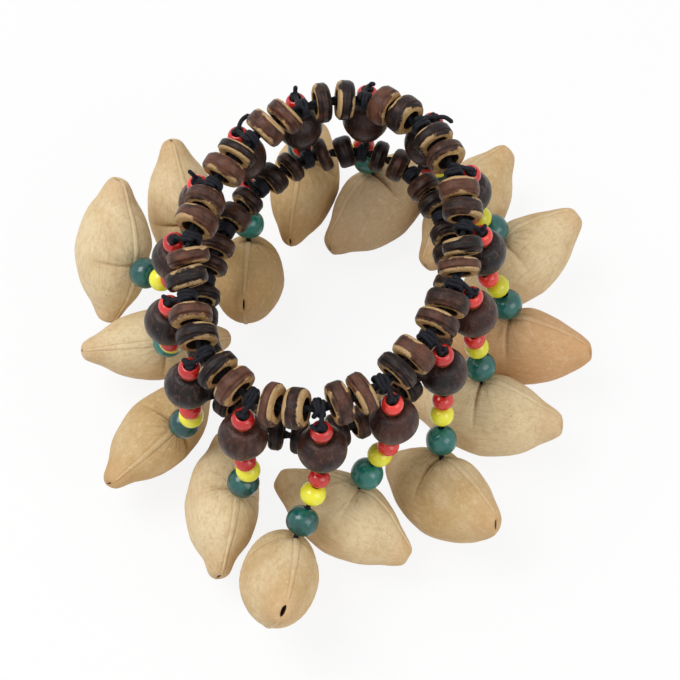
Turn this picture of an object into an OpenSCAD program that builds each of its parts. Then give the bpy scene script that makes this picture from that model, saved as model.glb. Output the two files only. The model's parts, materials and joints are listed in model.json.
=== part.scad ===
// Nutshell shaker bracelet: two elastic loops strung with disc beads, tied together by fifteen beaded
// strands, each of which carries a hollow nutshell that swings and rattles against its neighbours.
// The bracelet stands on a floor at Z = 0, as it does when it is put down, with its wrist opening along Z.

/* [Band] */
// Long diameter of the upper elastic loop
band_long = 75; // [70:1:95]
// Short diameter of the upper elastic loop
band_short = 56; // [52:1:80]
// Angle of the long diameter from the X axis
band_turn = 73; // [0:1:90]
// How far the upper discs reach down between the tops of the barrel beads
row_nest = 0.1; // [-3:0.1:0.2]
// How far the lower discs reach up between the feet of the barrel beads
foot_nest = 0.3; // [-3:0.1:0.4]
// How far the lower elastic loop lies inside the upper one
lower_inset = 1.8; // [1.2:0.1:2.4]
// Thickness of the elastic cord
elastic_d = 2; // [1.4:0.1:2.2]

/* [Disc beads] */
// Diameter of a disc bead of the upper row
upper_disc_d = 9.4; // [7:0.1:9.8]
// Diameter of a disc bead of the lower row
lower_disc_d = 7.8; // [6:0.1:8]
// Thickness of a disc bead
disc_t = 4.1; // [3:0.1:4.3]
// Hole through a disc bead
disc_hole_d = 3.4; // [3.2:0.1:4]
// Width of the worn edge of a disc bead
disc_edge = 0.5; // [0.2:0.1:1]
// Gap between the two discs of a pair
disc_gap = 0.9; // [0.8:0.1:1.2]

/* [Barrel beads] */
// Diameter of a barrel bead at its middle
barrel_d = 10.6; // [8:0.1:10.8]
// Diameter of a barrel bead at its ends
barrel_end_d = 7.4; // [5:0.1:7.6]
// Height of a barrel bead
barrel_h = 9.4; // [7:0.1:9.6]

/* [Round beads] */
// Diameter of a red bead
red_d = 4.8; // [3.6:0.1:5]
// Height of a red bead
red_h = 4; // [3:0.1:4.2]
// Diameter of a yellow bead
yellow_d = 5.4; // [4:0.1:6]
// Height of a yellow bead
yellow_h = 4.7; // [3.6:0.1:5]
// Diameter of a green bead
green_d = 7; // [5:0.1:7.4]
// Height of a green bead
green_h = 6.4; // [4.6:0.1:6.6]
// Gap between neighbouring beads on a strand
bead_gap = 0.25; // [0.15:0.05:0.4]

/* [Strands] */
// Thickness of a strand's cord
cord_d = 1.4; // [1:0.1:1.5]
// Room round the cord and the elastic where they pass through something
cord_play = 0.25; // [0.15:0.05:0.35]
// Diameter of the knot on top of a strand
top_knot_d = 3.2; // [2.6:0.1:3.6]
// How far the middle of a strand's top bead reaches in between the upper discs
strand_nest = 0.7; // [-0.5:0.1:0.8]
// Outward lean of the barrel beads at the front of the band
front_lean = 6; // [3:1:10]
// Inward lean of the barrel beads at the back of the band
back_lean = 15; // [0:1:16]
// Open cord between the yellow and the green bead, where the drop swings
swing_gap = 1.5; // [1.2:0.1:1.8]

/* [Nutshells] */
// Length of a nutshell from tip to tip
nut_length = 36; // [28:0.5:37]
// Depth of a nutshell from its hole down to its base
nut_depth = 21; // [16:0.5:22]
// Width of a nutshell across its two halves
nut_width = 17.6; // [13:0.2:18]
// Thickness of a nutshell's wall
nut_wall = 1.3; // [0.8:0.1:1.8]
// Length of the slit in a nutshell's tip
slit_length = 4.4; // [2:0.1:5]
// Width of the slit in a nutshell's tip
slit_width = 1.1; // [0.5:0.1:1.4]
// Diameter of the stopper knot inside a nutshell
stopper_d = 4.4; // [3.6:0.1:5]

/* [Hidden] */
// How each strand hangs, in degrees, counted anticlockwise from the back: outward and sideways tilt of the
// red and yellow beads, outward and sideways tilt of the nutshell, and its turn about its own hanging axis.
POSES = [
    [46, -15, -5, 0, -35],
    [-4, 5, -30, 30, -40],
    [20, -10, 36, -30, -40],
    [40, -15, 58, -33, -50],
    [0, -25, 15, -25, 5],
    [0, -5, 20, -25, 25],
    [0, 5, 12, -20, 30],
    [25, -20, 50, -28, 0],
    [-10, -20, 8, -34, 28],
    [10, -15, 26, -30, -10],
    [10, 5, 16, -22, 0],
    [30, 0, 16, -18, -14],
    [35, 8, 27, -18, 17],
    [41, 0, 12, -19, 11],
    [29, 5, -15, -17, -37]
];
strand_count = len(POSES);
// Where the first strand stands on the loop, in strand spacings from the end of the long diameter
first_slot = 1.2;
// Shares of the gap between the discs of a pair that their fanning out and their own tilts take up
fan_share = 0.65;
tilt_share = 0.33;
// Share of the free angle beside a strand's cord that a pair of discs leans into
lean_share = 0.22;
// Largest difference in size between the nutshells, as a share
nut_vary = 0.04;
nut_sizes = rands(1 - nut_vary, 1 + nut_vary, strand_count, 7);
// Stations along a nutshell from tip to tip, closer together towards the tips
nut_stations = [-1, -0.93, -0.78, -0.55, -0.28, 0, 0.28, 0.55, 0.78, 0.93, 1];
nut_sides = 16;
cavity_stations = [-1, -0.8, -0.5, 0, 0.5, 0.8, 1];
cavity_sides = 12;
// How a nutshell narrows towards its tips: a straight and a curved share of its width and of its depth
width_taper = [0.42, 0.46];
depth_taper = [0.42, 0.38];
// Thickness of the solid tip of a nutshell, in walls
tip_walls = 3;
// Rings of the elastic tubes between two strands, and sides of the elastic and of the strands' cords
rings_per_strand = 3;
elastic_sides = 8;
cord_sides = 8;
// Sides of a drilled nutshell hole
hole_sides = 12;
wood_brown = "#3b2620";
shell_tan = "#cbb083";
bead_red = "#c8262b";
bead_yellow = "#d6d62a";
bead_green = "#1f5a4e";
cord_black = "#17171a";
$fn = 48;

bead_bore_d = cord_d + 2 * cord_play;
// The cord runs in over the lower elastic and back out under it, between the barrel and the red bead
hook_r = elastic_d / 2 + cord_play + cord_d / 2;
arm_spacing = cord_d + cord_play;
top_bead_rise = barrel_h + bead_gap + red_h / 2;
top_knot_rise = barrel_h + 2 * bead_gap + red_h + top_knot_d / 2;
// Height of the upper elastic loop above the lower one, with the leaning barrel beads standing between them
barrel_rise = lower_disc_d / 2 - foot_nest;
barrel_top = cos(back_lean) * barrel_h + sin(back_lean) * barrel_end_d / 2;
row_spacing = barrel_rise + barrel_top + upper_disc_d / 2 - row_nest;
// The lower red bead tilts with the drop, so the rim of its flat end has to clear the cord above it
red_end_r = sqrt(max(0, red_d * red_d - red_h * red_h)) / 2;
inward_tilt = -min([for (pose = POSES) pose[0]]);
drop_gap = cord_d / 2 + red_end_r * sin(inward_tilt) + bead_gap / 5;
red_drop = drop_gap + red_h / 2;
yellow_drop = drop_gap + red_h + bead_gap + yellow_h / 2;
pivot_drop = drop_gap + red_h + bead_gap + yellow_h + swing_gap / 2;
// The cords above and below a pivot end in half balls this far from it
cord_end = cord_d / 2 + cord_play / 2;
green_drop = swing_gap / 2 + green_h / 2;
nut_drop = swing_gap / 2 + green_h + bead_gap;
stopper_drop = nut_drop + nut_wall + stopper_d / 2 + cord_play;

// The loops are ovals. A table of length against angle places the strands evenly along the upper one.
oval_steps = 240;
function oval_radius(inset) = [band_long / 2 - inset, band_short / 2 - inset];
function oval_at(angle, inset) = [oval_radius(inset)[0] * cos(angle), oval_radius(inset)[1] * sin(angle)];
function oval_step(i) = norm(oval_at(360 * (i + 1) / oval_steps, 0) - oval_at(360 * i / oval_steps, 0));
oval_table = [for (i = 0, run = 0; i <= oval_steps; run = run + oval_step(i), i = i + 1)
    [run, 360 * i / oval_steps]];
loop_length = oval_table[oval_steps][0];
function turned(p) = [
    p[0] * cos(band_turn) - p[1] * sin(band_turn),
    p[0] * sin(band_turn) + p[1] * cos(band_turn)];
function slot_angle(slot) = lookup(((slot / strand_count * loop_length) % loop_length), oval_table);
function loop_point(slot, inset) = turned(oval_at(slot_angle(slot), inset));
// Distance between neighbouring strands along a loop, and half of what the discs leave free of it at a strand
function pitch(inset) = (loop_length - 2 * PI * inset) / strand_count;
function half_room(inset) = (pitch(inset) - 2 * disc_t - disc_gap) / 2;
// Share of the loop's own bend that the discs of a pair follow, and the largest tilt of one against the other
tightest_r = band_short * band_short / (2 * band_long);
tightest_bend = (disc_t + disc_gap) / 2 / tightest_r * 180 / PI;
disc_fan = asin(fan_share * 2 * disc_gap / upper_disc_d) / 2 / tightest_bend;
disc_tilt = asin(tilt_share * disc_gap / upper_disc_d);
// Largest lean of a pair of discs out of line with the loop
pair_tilt = lean_share * max(0, atan((half_room(lower_inset) - cord_d / 2 - cord_play) / hook_r));
// A strand's top bead stands between the discs beside it, which fan out, or past them if they leave no room
bead_room = red_d / 2 + bead_gap / 2;
room_between = (bead_room - half_room(0)) / tan(180 / strand_count - pair_tilt - disc_tilt);
room_past = upper_disc_d / 2 + sqrt(max(0, pow(bead_room, 2) - pow(half_room(0), 2)));
strand_offset = max(upper_disc_d / 2 - strand_nest, min(room_between, room_past));
// Direction, as an angle from the X axis, that points straight out of the loop
function outward(slot) = band_turn + atan2(
    sin(slot_angle(slot)) * oval_radius(0)[0],
    cos(slot_angle(slot)) * oval_radius(0)[1]);
function angle_between(a, b) = (b - a) - 360 * round((b - a) / 360);
function slot_of(i) = i + first_slot;
// Outward lean of a strand's barrel bead: from the front, round the sides, it turns inward towards the back
function lean(i) = front_lean - (front_lean + back_lean) * max(0, sin(outward(slot_of(i))));

function spun(p, turn) = [p[0] * cos(turn) - p[1] * sin(turn), p[0] * sin(turn) + p[1] * cos(turn), p[2]];
// Turns a point by the tilts of a strand: sideways, then outward, then to the direction it faces
function tilt(p, out, side, facing) = let(
    a = [p[0], p[1] * cos(side) - p[2] * sin(side), p[1] * sin(side) + p[2] * cos(side)],
    b = [a[0] * cos(out) - a[2] * sin(out), a[1], a[0] * sin(out) + a[2] * cos(out)])
    spun(b, facing);

// Points of a nutshell's closed skin, ring by ring: hole at the origin, tips along X, base down Z
function nut_points(stations, sides, length, depth, width, top_z) = [for (s = stations, k = [0 : sides - 1])
    let(
        turn = 360 * k / sides,
        half_width = width / 2 * (1 - width_taper[0] * abs(s) - width_taper[1] * pow(abs(s), 3)),
        half_depth = depth / 2 * (1 - depth_taper[0] * abs(s) - depth_taper[1] * pow(abs(s), 4)))
    [s * length / 2, half_width * cos(turn), top_z - depth / 2 + half_depth * sin(turn)]];
function nut_outside(i) = let(size = nut_sizes[i])
    nut_points(nut_stations, nut_sides, nut_length * size, nut_depth * size, nut_width * size, 0);
// Height of a nutshell's lowest point over the lower elastic, which is below it and so negative
function nut_low(i) = let(
    pose = POSES[i],
    pivot_rise = -arm_spacing / 2 + tilt([0, 0, -pivot_drop], pose[0], pose[1], 0)[2])
    pivot_rise + min([for (p = nut_outside(i))
        tilt(spun([p[0], p[1], p[2] - nut_drop], pose[4]), pose[2], pose[3], 0)[2]]);
// The lowest nutshell stands on the floor
lower_row_z = -min([for (i = [0 : strand_count - 1]) nut_low(i)]);
upper_row_z = lower_row_z + row_spacing;
barrel_z = lower_row_z + barrel_rise;

// Point beside the upper elastic at a strand: so far out of the loop, at a height
function beside(i, out, z) = let(p = loop_point(slot_of(i), 0), facing = outward(slot_of(i)))
    [p[0] + out * cos(facing), p[1] + out * sin(facing), z];
// Middle of a barrel bead's lower end
function foot_out(i) = strand_offset + tan(lean(i)) * top_bead_rise;
function strand_foot(i) = beside(i, foot_out(i), barrel_z);
// Point under it where the cord turns down into the red bead
function drop_head(i) = beside(i, foot_out(i), lower_row_z - arm_spacing / 2);
function on_drop_line(i, drop) = let(pose = POSES[i])
    drop_head(i) + tilt([0, 0, -drop], pose[0], pose[1], outward(slot_of(i)));
// Point on the open cord about which the green bead and the nutshell swing
function pivot(i) = on_drop_line(i, pivot_drop);

// Places its children at the foot of a strand, with Z up along the barrel bead
module on_strand(i) {
    translate(strand_foot(i)) rotate([0, 0, outward(slot_of(i))]) rotate([0, -lean(i), 0]) children();
}

// Places its children at the head of a drop, with Z up along the red and yellow beads
module on_drop(i) {
    translate(drop_head(i)) rotate([0, 0, outward(slot_of(i))])
        rotate([POSES[i][1], -POSES[i][0], 0]) children();
}

// Places its children at a strand's pivot, with Z up along the green bead and the nutshell's hanging axis
module on_pivot(i) {
    translate(pivot(i)) rotate([0, 0, outward(slot_of(i))])
        rotate([POSES[i][3], -POSES[i][2], 0]) children();
}

// Ball with flat ends and a bore along Z
module round_bead(d, h) {
    rotate_extrude() intersection() {
        circle(d = d);
        translate([bead_bore_d / 2, -h / 2]) square([d, h]);
    }
}

// Barrel with a curved side, flat ends and a bore along Z, standing on Z = 0
module barrel_bead() {
    rise = (barrel_d - barrel_end_d) / 2;
    curve_r = (rise * rise + barrel_h * barrel_h / 4) / (2 * rise);
    translate([0, 0, barrel_h / 2]) rotate_extrude() intersection() {
        translate([barrel_d / 2 - curve_r, 0]) circle(r = curve_r, $fn = 96);
        translate([bead_bore_d / 2, -barrel_h / 2]) square([barrel_d, barrel_h]);
    }
}

// Disc with worn edges and a hole along Z, centred on its middle
module disc_bead(d) {
    r = d / 2;
    half = disc_t / 2;
    rotate_extrude() polygon([
        [disc_hole_d / 2, -half], [r - disc_edge, -half], [r, disc_edge - half],
        [r, half - disc_edge], [r - disc_edge, half], [disc_hole_d / 2, half]
    ]);
}

// Pairs of disc beads between neighbouring strands along one loop
module disc_row(d, inset, z, seed) {
    pair_turns = rands(-pair_tilt, pair_tilt, 2 * strand_count, seed);
    disc_turns = rands(-disc_tilt, disc_tilt, 2 * strand_count, seed + 1);
    for (i = [0 : strand_count - 1], side = [-1, 1]) {
        middle = slot_of(i) + 0.5;
        reach = side * (disc_t + disc_gap) / 2;
        slot = middle + reach / pitch(inset);
        bend = disc_fan * angle_between(outward(middle), outward(slot));
        p = loop_point(slot, inset);
        lean = pair_turns[2 * i];
        yaw = pair_turns[2 * i + 1] + disc_turns[2 * i + (side + 1) / 2] + bend;
        translate([p[0], p[1], z]) rotate([lean, 0, outward(middle) + yaw]) rotate([90, 0, 0]) disc_bead(d);
    }
}

// Closed tube along one loop
module elastic_loop(inset, z) {
    rings = rings_per_strand * strand_count;
    points = [for (k = [0 : rings - 1], s = [0 : elastic_sides - 1])
        let(
            slot = k / rings_per_strand,
            p = loop_point(slot, inset),
            turn = 360 * s / elastic_sides,
            out = elastic_d / 2 * cos(turn))
        [p[0] + out * cos(outward(slot)), p[1] + out * sin(outward(slot)), z + elastic_d / 2 * sin(turn)]];
    faces = [for (k = [0 : rings - 1], s = [0 : elastic_sides - 1], half = [0, 1])
        let(
            a = k * elastic_sides,
            b = ((k + 1) % rings) * elastic_sides,
            next = (s + 1) % elastic_sides)
        half == 0 ? [a + s, b + next, b + s] : [a + s, a + next, b + next]];
    polyhedron(points, faces);
}

// Tube along a path of points, each with its radius; across is a direction square to most of the path
module tube(path, radii, across) {
    n = len(path);
    points = [for (k = [0 : n - 1], s = [0 : cord_sides - 1])
        let(
            ahead = path[min(k + 1, n - 1)] - path[max(k - 1, 0)],
            along = ahead / norm(ahead),
            level = across - (across * along) * along,
            u = level / norm(level),
            v = cross(along, u),
            turn = 360 * s / cord_sides)
        path[k] + radii[k] * (cos(turn) * u + sin(turn) * v)];
    skin = [for (k = [0 : n - 2], s = [0 : cord_sides - 1], half = [0, 1])
        let(a = k * cord_sides, b = a + cord_sides, next = (s + 1) % cord_sides)
        half == 0 ? [a + s, b + s, b + next] : [a + s, b + next, a + next]];
    end = (n - 1) * cord_sides;
    caps = [for (s = [1 : cord_sides - 2], side = [0, 1])
        side == 0 ? [0, s, s + 1] : [end, end + s + 1, end + s]];
    polyhedron(points, concat(skin, caps));
}

// One strand's cord: it hooks over the upper elastic, is knotted, runs down through the red and the barrel
// bead, hooks round the lower elastic and runs down to the open cord above the green bead
module strand_cord(i) {
    facing = outward(slot_of(i));
    foot = strand_foot(i);
    head = drop_head(i);
    bend = cord_d / 2;
    upper_hook = [for (turn = [-80 : -47 : -315])
        beside(i, hook_r * cos(turn), upper_row_z + hook_r * sin(turn))];
    knot = [for (rise = [0.5, 0.2, -0.2, -0.5])
        foot + tilt([0, 0, top_knot_rise + rise * top_knot_d], lean(i), 0, facing)];
    lower_hook = [for (turn = [30 : 50 : 330])
        beside(i, hook_r * cos(turn) - lower_inset, lower_row_z + hook_r * sin(turn))];
    path = concat(
        upper_hook, knot,
        [foot, beside(i, foot_out(i), lower_row_z + arm_spacing / 2 + bend),
            beside(i, foot_out(i) - bend, lower_row_z + arm_spacing / 2)],
        lower_hook,
        [beside(i, foot_out(i) - bend, head[2]), on_drop_line(i, bend),
            on_drop_line(i, pivot_drop - cord_end), on_drop_line(i, pivot_drop - cord_play / 2)]);
    r = cord_d / 2;
    radii = concat(
        [for (p = upper_hook) r], [r, top_knot_d / 2, top_knot_d / 2, r],
        [r, r, r], [for (p = lower_hook) r], [r, r, r, r / 3]);
    tube(path, radii, [-sin(facing), cos(facing), 0]);
}

// Solid inside a nutshell's skin
module nut_skin(stations, sides, length, depth, width, top_z) {
    n = len(stations);
    points = nut_points(stations, sides, length, depth, width, top_z);
    skin = [for (r = [0 : n - 2], k = [0 : sides - 1], half = [0, 1])
        let(a = r * sides, b = a + sides, next = (k + 1) % sides)
        half == 0 ? [a + k, b + k, b + next] : [a + k, b + next, a + next]];
    caps = [for (k = [1 : sides - 2], end = [0, 1])
        end == 0 ? [0, k, k + 1] : [(n - 1) * sides, (n - 1) * sides + k + 1, (n - 1) * sides + k]];
    polyhedron(points, concat(skin, caps));
}

// Hollow nutshell with its hole at the origin and a slit in each tip
module nut_body(size) {
    length = nut_length * size;
    depth = nut_depth * size;
    width = nut_width * size;
    difference() {
        nut_skin(nut_stations, nut_sides, length, depth, width, 0);
        nut_skin(cavity_stations, cavity_sides, length - 2 * tip_walls * nut_wall, depth - 2 * nut_wall,
            width - 2 * nut_wall, -nut_wall);
        translate([0, 0, -2 * nut_wall]) cylinder(d = bead_bore_d, h = 4 * nut_wall, $fn = hole_sides);
        for (end = [-1, 1])
            translate([end * length / 2, 0, -depth / 2])
                cube([(2 * tip_walls + 2) * nut_wall, slit_width, slit_length], center = true);
    }
}

module upper_elastic() {
    color(cord_black) elastic_loop(0, upper_row_z);
}

module lower_elastic() {
    color(cord_black) elastic_loop(lower_inset, lower_row_z);
}

module upper_disc_beads() {
    color(wood_brown) disc_row(upper_disc_d, 0, upper_row_z, 3);
}

module lower_disc_beads() {
    color(wood_brown) disc_row(lower_disc_d, lower_inset, lower_row_z, 5);
}

module barrel_beads() {
    color(wood_brown) for (i = [0 : strand_count - 1])
        on_strand(i) barrel_bead();
}

module top_red_beads() {
    color(bead_red) for (i = [0 : strand_count - 1])
        on_strand(i) translate([0, 0, top_bead_rise]) round_bead(red_d, red_h);
}

module lower_red_beads() {
    color(bead_red) for (i = [0 : strand_count - 1])
        on_drop(i) translate([0, 0, -red_drop]) round_bead(red_d, red_h);
}

module yellow_beads() {
    color(bead_yellow) for (i = [0 : strand_count - 1])
        on_drop(i) translate([0, 0, -yellow_drop]) round_bead(yellow_d, yellow_h);
}

module strand_cords() {
    color(cord_black) for (i = [0 : strand_count - 1])
        strand_cord(i);
}

module green_bead(i) {
    color(bead_green) on_pivot(i) translate([0, 0, -green_drop]) round_bead(green_d, green_h);
}

module drop_cord(i) {
    color(cord_black) on_pivot(i) {
        translate([0, 0, -stopper_drop]) cylinder(d = cord_d, h = stopper_drop - cord_end);
        translate([0, 0, -cord_end]) sphere(d = cord_d);
        translate([0, 0, -stopper_drop]) sphere(d = stopper_d);
    }
}

module nutshell(i) {
    color(shell_tan) on_pivot(i) translate([0, 0, -nut_drop]) rotate([0, 0, POSES[i][4]])
        nut_body(nut_sizes[i]);
}

// Name of one strand's piece, numbered from 01
function piece_name(kind, i) = str(kind, "_", i < 9 ? "0" : "", i + 1);
function piece_names(kind) = [for (i = [0 : strand_count - 1]) piece_name(kind, i)];

upper_elastic();
lower_elastic();
upper_disc_beads();
lower_disc_beads();
barrel_beads();
top_red_beads();
lower_red_beads();
yellow_beads();
strand_cords();
for (i = [0 : strand_count - 1]) {
    green_bead(i);
    drop_cord(i);
    nutshell(i);
}
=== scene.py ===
# %% [markdown]
# # Nutshell shaker bracelet
# A ring of dark beads on two elastic loops carries fifteen short strands, and each strand ends in a
# hollow nutshell that knocks against its neighbours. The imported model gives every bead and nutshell
# its place and size. This lesson gives them their real surfaces: worn shell discs, turned wooden
# beads, waxed cord and dry, fibrous nutshells. Places and main sizes are measured from the frame,
# so each piece lands where it belongs, and only small sizes and finishes are written down here.

# %% Load the frame
import json
import math

import bmesh
import bpy
import numpy as np
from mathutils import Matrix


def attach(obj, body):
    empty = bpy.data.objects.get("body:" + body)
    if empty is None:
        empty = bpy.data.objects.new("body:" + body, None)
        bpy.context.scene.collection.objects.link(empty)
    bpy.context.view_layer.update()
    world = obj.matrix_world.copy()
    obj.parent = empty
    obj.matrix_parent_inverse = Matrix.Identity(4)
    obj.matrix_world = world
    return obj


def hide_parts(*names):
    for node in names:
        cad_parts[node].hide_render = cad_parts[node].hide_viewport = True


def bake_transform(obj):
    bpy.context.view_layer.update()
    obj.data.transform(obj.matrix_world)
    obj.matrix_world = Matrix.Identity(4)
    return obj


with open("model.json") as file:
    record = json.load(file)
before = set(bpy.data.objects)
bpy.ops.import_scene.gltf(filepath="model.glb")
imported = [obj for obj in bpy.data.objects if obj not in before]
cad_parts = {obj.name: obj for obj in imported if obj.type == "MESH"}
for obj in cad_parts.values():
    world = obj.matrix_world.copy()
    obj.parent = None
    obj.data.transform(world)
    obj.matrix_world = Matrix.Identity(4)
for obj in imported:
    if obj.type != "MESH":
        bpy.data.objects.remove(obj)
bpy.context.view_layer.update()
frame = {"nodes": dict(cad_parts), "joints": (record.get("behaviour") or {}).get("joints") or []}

MM = 0.001

# %% [markdown]
# ## Finding the beads
# One node holds all beads of a kind, so its mesh has to be taken apart into single beads. Corners
# that lie in the same place are counted as one, and each corner then takes the lowest number among
# the corners it is joined to, again and again, until every loose solid carries one number. Walking
# along the edges by hand would do the same, but this way works on whole arrays at once.

# %% Take a node apart
WELD = 0.001 * MM


def corners(node):
    """Corner points of a node, in metres."""
    mesh = frame["nodes"][node].data
    flat = np.empty(3 * len(mesh.vertices))
    mesh.vertices.foreach_get("co", flat)
    return flat.reshape(-1, 3)


def loose_solids(node):
    """Corner points of each separate solid of a node."""
    mesh = frame["nodes"][node].data
    points = corners(node)
    place = np.unique(np.round(points / WELD), axis=0, return_inverse=True)[1].ravel()
    ends = np.empty(2 * len(mesh.edges), int)
    mesh.edges.foreach_get("vertices", ends)
    a, b = place[ends.reshape(-1, 2)].T
    label = np.arange(place.max() + 1)
    while True:
        before = label.copy()
        lowest = np.minimum(label[a], label[b])
        np.minimum.at(label, a, lowest)
        np.minimum.at(label, b, lowest)
        label = label[label]
        if (label == before).all():
            break
    owner = label[place]
    return [points[owner == k] for k in np.unique(owner)]


def middle(points):
    return (points.min(0) + points.max(0)) / 2


def unit(v):
    return v / np.linalg.norm(v)


STRUNG = ("barrel_beads", "top_red_beads", "lower_red_beads", "yellow_beads")
bead_places = {node: np.array([middle(p) for p in loose_solids(node)]) for node in STRUNG}
print({node: len(places) for node, places in bead_places.items()})

# %% [markdown]
# ## Fifteen strands
# Each hinge of the frame lies on the open cord of one strand. From there the yellow bead, the red
# bead, the barrel and the top red bead are each the nearest of their kind to the one before, and
# two neighbours on a cord give the direction in which the cord runs through them.

# %% Follow each strand up from its hinge
UP = np.array([0.0, 0.0, 1.0])


def nearest(places, point):
    return places[np.argmin(np.linalg.norm(places - point, axis=1))]


class Strand:
    """Places and directions along one strand, from the lashing on the band to the nutshell."""

    def __init__(self, joint):
        self.number = joint["name"][-2:]
        self.index = int(self.number) - 1
        self.body = joint["child"]
        axis = np.array(joint["axis"])
        self.out = np.array([-axis[1], axis[0], 0.0])
        self.along = np.cross(UP, self.out)
        self.pivot = np.array(joint["pos_m"])
        self.yellow = nearest(bead_places["yellow_beads"], self.pivot)
        self.red = nearest(bead_places["lower_red_beads"], self.yellow)
        self.barrel = nearest(bead_places["barrel_beads"], self.red)
        self.top = nearest(bead_places["top_red_beads"], self.barrel)
        self.green = middle(corners("green_bead_" + self.number))
        self.rise = unit(self.top - self.barrel)
        self.drop = unit(self.yellow - self.red)
        self.hang = unit(self.green - self.pivot)


strands = [Strand(joint) for joint in frame["joints"]]
assert len({tuple(s.top) for s in strands}) == len(strands)
print(len(strands), "strands")

# %% [markdown]
# ## A workbench for meshes
# Nearly everything here is a skin over closed rings of points: a turned bead is its half section
# carried round its bore, a cord is a circle carried along a path, and a nutshell is an oval carried
# from tip to tip. One small class gathers such skins into a piece. Beside the points it keeps
# marks, which are numbers that the finishes read later, such as how raw the shell is at that point.

# %% Gather skins into a piece
def put_in_scene(name, data):
    """An object for a mesh, a lamp or a camera."""
    obj = bpy.data.objects.new(name, data)
    bpy.context.scene.collection.objects.link(obj)
    return obj


class Piece:
    """Points, faces and marks of one piece, gathered skin by skin."""

    def __init__(self, **widths):
        self.points, self.faces, self.count = [], [], 0
        self.marks = {name: [] for name in widths}
        self.widths = widths

    def skin(self, rings, closed=False, capped=False, **marks):
        """Adds the skin over rings of points, an array of rings by sides by 3."""
        n, sides = rings.shape[:2]
        index = self.count + np.arange(n * sides).reshape(n, sides)
        if capped:
            self.faces += [index[0].tolist(), index[-1].tolist()]
        if closed:
            index = np.vstack([index, index[:1]])
        a, b = index[:-1], index[1:]
        quads = np.stack([a, np.roll(a, -1, 1), np.roll(b, -1, 1), b], -1)
        self.faces += quads.reshape(-1, 4).tolist()
        self.points.append(rings.reshape(-1, 3))
        self.count += n * sides
        for name, width in self.widths.items():
            full = np.broadcast_to(marks[name], (n, sides, width) if width > 1 else (n, sides))
            self.marks[name].append(full.reshape(-1))

    def make(self, name, finish):
        """Makes the mesh object, with smooth faces that look outward."""
        mesh = bpy.data.meshes.new(name)
        mesh.from_pydata(np.concatenate(self.points).tolist(), [], self.faces)
        build = bmesh.new()
        build.from_mesh(mesh)
        bmesh.ops.recalc_face_normals(build, faces=build.faces)
        build.to_mesh(mesh)
        build.free()
        mesh.polygons.foreach_set("use_smooth", [True] * len(mesh.polygons))
        for mark, width in self.widths.items():
            kind, field = ("FLOAT", "value") if width == 1 else ("FLOAT_VECTOR", "vector")
            layer = mesh.attributes.new(mark, kind, "POINT")
            layer.data.foreach_set(field, np.concatenate(self.marks[mark]).astype(np.float32))
        mesh.materials.append(finish)
        return put_in_scene(name, mesh)


def basis(up, towards):
    """Rows x, y, z of a square frame with z along up and x as near to towards as it can be."""
    z = unit(up)
    x = unit(towards - z * (towards @ z))
    return np.array([x, np.cross(z, x), z])


def circle(sides):
    turn = np.linspace(0, 2 * math.pi, sides, endpoint=False)
    return np.cos(turn), np.sin(turn), turn


def wobble(turn, rng, strength, waves=(2, 3, 5)):
    """A smooth random ripple round a ring."""
    parts = [rng.normal() / k * np.cos(k * turn + rng.uniform(0, 2 * math.pi)) for k in waves]
    return strength * sum(parts)


def swelling(points, rng, size, waves=9):
    """Slow random hills from a few plane waves in random directions."""
    total = np.zeros(points.shape[:-1])
    for _ in range(waves):
        way = rng.normal(size=3)
        total += np.sin(points @ way / size + rng.uniform(0, 2 * math.pi))
    return total / waves


# %% [markdown]
# ## Shader sums as Python
# A finish is a tree of nodes, and most of its nodes are plain arithmetic. The class below wraps an
# output socket, so that adding or multiplying two of them adds the Math node and the links. Every
# other node comes from one method, which takes the node's type, then its settings, then what goes
# into its sockets.

# %% A socket that can be calculated with
class Wire:
    """An output socket of a finish, on which Python's operators work."""

    def __init__(self, tree, socket=None):
        self.tree, self.socket = tree, socket

    def node(self, kind, settings, values, out=0):
        """Adds any node: its type, its settings, then a value or a wire for each named socket."""
        made = self.tree.nodes.new(kind)
        for name, value in settings.items():
            setattr(made, name, value)
        for key, value in values.items():
            if isinstance(value, Wire):
                self.tree.links.new(value.socket, made.inputs[key])
            else:
                made.inputs[key].default_value = value
        return Wire(self.tree, made.outputs[out])

    def sum(self, operation, a, b):
        return self.node("ShaderNodeMath", {"operation": operation}, {0: a, 1: b})

    def __add__(self, other):
        return self.sum("ADD", self, other)

    def __sub__(self, other):
        return self.sum("SUBTRACT", self, other)

    def __rsub__(self, other):
        return self.sum("SUBTRACT", other, self)

    def __mul__(self, other):
        return self.sum("MULTIPLY", self, other)

    __radd__ = __add__
    __rmul__ = __mul__


def mark(bench, name):
    return bench.node("ShaderNodeAttribute", {"attribute_name": name}, {}, "Fac")


def mark_vector(bench, name):
    return bench.node("ShaderNodeAttribute", {"attribute_name": name}, {}, "Vector")


def stretched(vector, x, y, z):
    """A vector with each axis scaled, which turns round noise into streaks."""
    return vector.node("ShaderNodeVectorMath", {"operation": "MULTIPLY"}, {0: vector, 1: (x, y, z)})


def grain(vector, scale, detail=3.0, rough=0.55):
    """Noise from 0 to 1 at so many spots per millimetre."""
    values = {"Vector": vector, "Scale": scale, "Detail": detail, "Roughness": rough}
    return vector.node("ShaderNodeTexNoise", {}, values, "Fac")


def fade(wire, low, high):
    """0 below low, 1 above high, and a soft step between them."""
    settings = {"interpolation_type": "SMOOTHSTEP"}
    return wire.node("ShaderNodeMapRange", settings, {0: wire, 1: low, 2: high, 3: 0.0, 4: 1.0})


def fade_out(wire, low, high, most):
    """The most below low, 0 above high, and a soft step between them."""
    return fade(wire, low, high) * -most + most


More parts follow.
